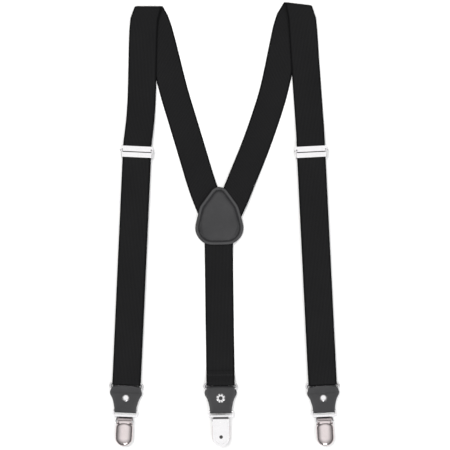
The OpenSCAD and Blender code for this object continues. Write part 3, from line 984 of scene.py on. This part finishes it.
def spun(points, steps, angle=2 * math.pi, centre=(0, 0, 0)):
    """The profile turned about an upright axis."""
    obj = profile(points)
    with editing(obj):
        bpy.ops.mesh.spin(steps=steps, angle=angle, center=Vector(centre) * MM, axis=(0, 0, 1))
        bpy.ops.mesh.select_all(action="SELECT")
        bpy.ops.mesh.remove_doubles(threshold=0.01 * MM)
        bpy.ops.mesh.normals_make_consistent(inside=False)
    return obj


# %% Rivets
# In millimetres, from the ring's lower bar to the rivet, and from the middle ply to either face
RIVET_DOWN = 8
LEATHER_TOP = 1.55
RIVET_CAP = [
    (0, 0, 1.3), (0.8, 0, 1.28), (1.6, 0, 1.2), (2.3, 0, 1.05), (2.9, 0, 0.78), (3.35, 0, 0.4),
    (3.56, 0, 0.1), (3.6, 0, -0.02), (3.45, 0, -0.06), (0, 0, -0.06),
]
RIVET_POST = [
    (0, 0, 1.2), (0.55, 0, 1.15), (1.1, 0, 0.85), (1.3, 0, 0.9), (1.35, 0, 0.3), (1.55, 0, -0.2),
    (2.1, 0, -0.48), (2.9, 0, -0.46), (3.6, 0, -0.3), (4.1, 0, -0.05), (4.0, 0, 0.04),
    (1.9, 0, 0.04), (1.7, 0, 1.5), (0, 0, 1.5),
]
PETALS = 8
PETAL_ROOT = 1.6
cap = named(spun(RIVET_CAP, 40), "rivet_cap")
post = spun(RIVET_POST, 64)
for vertex in post.data.vertices:
    radius = math.hypot(vertex.co.x, vertex.co.y) / MM
    if radius > PETAL_ROOT and vertex.co.z < 0.1 * MM:
        split = (0.5 + 0.5 * math.cos(PETALS * math.atan2(vertex.co.y, vertex.co.x))) ** 8
        split *= min(1, (radius - PETAL_ROOT) / 2)
        vertex.co.x *= 1 - 0.13 * split
        vertex.co.y *= 1 - 0.13 * split
        vertex.co.z += 0.25 * MM * split
post = named(post, "rivet_post")
for side in SIDES:
    head_at = TAB_AT[side] @ Matrix.Translation((0, -RIVET_DOWN * MM, (LEATHER_TOP + 0.05) * MM))
    post_at = TAB_AT[side] @ Matrix.Translation((0, -RIVET_DOWN * MM, -(LEATHER_TOP + 0.08) * MM))
    stand_for(copy_to(cap, head_at, f"rivet_head_{side}"), f"rivet_cap_{side}", BRIGHT)
    stand_for(copy_to(post, post_at, f"rivet_flower_{side}"), f"rivet_post_{side}", BRIGHT)
bpy.data.objects.remove(cap)
bpy.data.objects.remove(post)

# %% [markdown]
# ## Wire rings
# The ring is a wire bent into a long loop. A torus already has the wire and the two bends. Its two
# halves are pulled apart, and the faces between them become the straight bars.

# %% Rings
low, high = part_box("ring_back")
WIRE_R = (high.z - low.z) / 2
RING_HALF = (high.x - low.x) / 2
bpy.ops.object.select_all(action="DESELECT")
bpy.ops.mesh.primitive_torus_add(
    major_radius=BAR_GAP / 2, minor_radius=WIRE_R, major_segments=50, minor_segments=20
)
ring = bpy.context.object
with editing(ring):
    for way in (-1, 1):
        choose(ring, "VERT", lambda place, _: place.x * way > 0)
        bpy.ops.transform.translate(value=(way * (RING_HALF - BAR_GAP / 2 - WIRE_R), 0, 0))
named(ring, "ring")
for side in SIDES:
    at = RING_AT[side] @ Matrix.Translation((0, -BAR_GAP / 2, 0))
    stand_for(copy_to(ring, at, f"wire_ring_{side}"), f"ring_{side}", BRIGHT)
bpy.data.objects.remove(ring)

# %% [markdown]
# ## Pressed parts
# The CAD solids of the clips and the adjusters have the right shape, but every edge on them is
# knife sharp, and a real pressing never is. A copy of each solid is merged, its flat faces are made
# whole again, and a bevel rounds its edges, which is what catches the light.


# %% Copy a solid and round its edges
def eased(node, name, edge):
    """A copy of a CAD solid with its edges rounded by this many mm."""
    obj = frame["nodes"][node].copy()
    obj.data = obj.data.copy()
    obj.parent = None
    for key in list(obj.keys()):
        del obj[key]
    bpy.context.scene.collection.objects.link(obj)
    with editing(obj):
        bpy.ops.mesh.remove_doubles(threshold=0.0005 * MM)
        bpy.ops.mesh.dissolve_limited(angle_limit=math.radians(0.5))
    modify(obj, "BEVEL", width=edge * MM, segments=2, limit_method="ANGLE", angle_limit=SHARP_ANGLE)
    named(obj, name)
    modify(obj, "WEIGHTED_NORMAL", keep_sharp=True, weight=90)
    return obj


# Each part, how far its edges are rounded, and its finish
CLIP_PARTS = [
    ("clip_base", 0.24, BRIGHT), ("clip_jaw", 0.14, WARM), ("clip_pin", 0.12, BRIGHT),
    ("clip_pad_lower", 0.12, PAD), ("clip_pad_upper", 0.12, PAD),
]
SLIDER_PARTS = [
    ("slider_frame", 0.18, BRIGHT), ("slider_lever", 0.18, BRIGHT), ("slider_pin", 0.15, BRIGHT),
]
for sides, parts in ((SIDES, CLIP_PARTS), (FRONT_SIDES, SLIDER_PARTS)):
    for side in sides:
        for part, edge, finish in parts:
            node = f"{part}_{side}"
            stand_for(eased(node, f"{part}_shown_{side}", edge), node, finish)

# %% [markdown]
# ## Clip levers
# The lever is a domed shell: an arched cross-section that runs straight down its length and ends in
# a half round. The half round is half of the arch spun half a turn about the middle of the tip. The
# straight length is the whole arch extruded back from it, and the neck is the same again, drawn
# narrower and lower. Solidify then gives the sheet its thickness.

# %% Model one lever
# In millimetres, in the frame of the clip
low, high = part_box("clip_lever_back")
LEVER_HALF = (high.x - low.x) / 2 / MM
LEVER_TOP = 5.9
LEVER_RIM = 2.0
TIP_MIDDLE = -23.4
SHELL_T = 0.6
BARREL_R, BARREL_WIDTH = 0.95, 11.6
WEB_AT, WEB_SIZE = Vector((0, -0.9, 0.72)), Vector((9.4, 2.2, 0.5))
LEVER_EDGE = math.radians(50)
# From the round tip back to the neck: how far, how much narrower, and how far down
LEVER_STEPS = [
    (3, 1, 0), (3.5, 1, 0), (2.5, 1, 0), (1.2, 0.985, 0.02), (1.0, 0.93, 0.1), (1.0, 0.88, 0.3),
    (0.9, 0.93, 0.55),
]
ARCH = [(math.sin(math.radians(a)), math.cos(math.radians(a)) ** 0.9) for a in range(0, 91, 9)]


def lever_model():
    """The lever, in the frame of the clip."""
    arch = [(LEVER_HALF * x, TIP_MIDDLE, LEVER_RIM + (LEVER_TOP - LEVER_RIM) * z) for x, z in ARCH]
    shell = spun(arch, 20, math.pi, (0, TIP_MIDDLE, 0))
    with editing(shell):
        choose(shell, "EDGE", lambda place, _: place.y > (TIP_MIDDLE - 0.01) * MM)
        for step, narrow, sink in LEVER_STEPS:
            extrude((0, step * MM, -sink * MM))
            bpy.ops.transform.resize(value=(narrow, 1, 1), center_override=(0, 0, 0))
        bpy.ops.mesh.select_all(action="SELECT")
        bpy.ops.mesh.remove_doubles(threshold=0.01 * MM)
        bpy.ops.mesh.normals_make_consistent(inside=False)
    if sum(face.normal.z * face.area for face in shell.data.polygons) < 0:
        with editing(shell):
            bpy.ops.mesh.flip_normals()
    modify(shell, "SOLIDIFY", thickness=SHELL_T * MM, offset=-1)
    modify(shell, "BEVEL", width=0.15 * MM, segments=2, limit_method="ANGLE", angle_limit=LEVER_EDGE)
    modify(shell, "SUBSURF", levels=1, render_levels=1)
    return named(shell, "lever_shell")


def barrel_model():
    """The curled end of the lever that turns on its pin, with the web that carries it."""
    pin = CLIP_AT["left"].inverted() @ hinge_place("lever_open_left")
    bpy.ops.mesh.primitive_cylinder_add(
        vertices=32, radius=BARREL_R * MM, depth=BARREL_WIDTH * MM, location=pin,
        rotation=(0, math.pi / 2, 0),
    )
    barrel = bpy.context.object
    with editing(barrel):
        choose(barrel, "FACE", lambda place, normal: abs(normal.z) > 0.9)
        bpy.ops.mesh.inset(thickness=0.33 * MM)
        extrude((0, 0, 0))
    modify(barrel, "BEVEL", width=0.08 * MM, segments=2, limit_method="ANGLE", angle_limit=LEVER_EDGE)
    bpy.ops.object.select_all(action="DESELECT")
    bpy.ops.mesh.primitive_cube_add(size=1, location=pin + WEB_AT * MM, scale=WEB_SIZE * MM)
    web = bpy.context.object
    with editing(web):
        choose(web, "FACE", lambda place, normal: normal.y < -0.5)
        bpy.ops.transform.translate(value=(0, 0, 0.35 * MM))
    modify(web, "BEVEL", width=0.15 * MM, segments=2)
    return [named(barrel, "barrel"), named(web, "web")]


lever = joined("lever", [lever_model()] + barrel_model())
print("lever box in mm:", [round(v / MM, 1) for v in lever.dimensions])
for side in SIDES:
    stand_for(copy_to(lever, CLIP_AT[side], f"clip_lever_shell_{side}"), f"clip_lever_{side}", WARM)
bpy.data.objects.remove(lever)
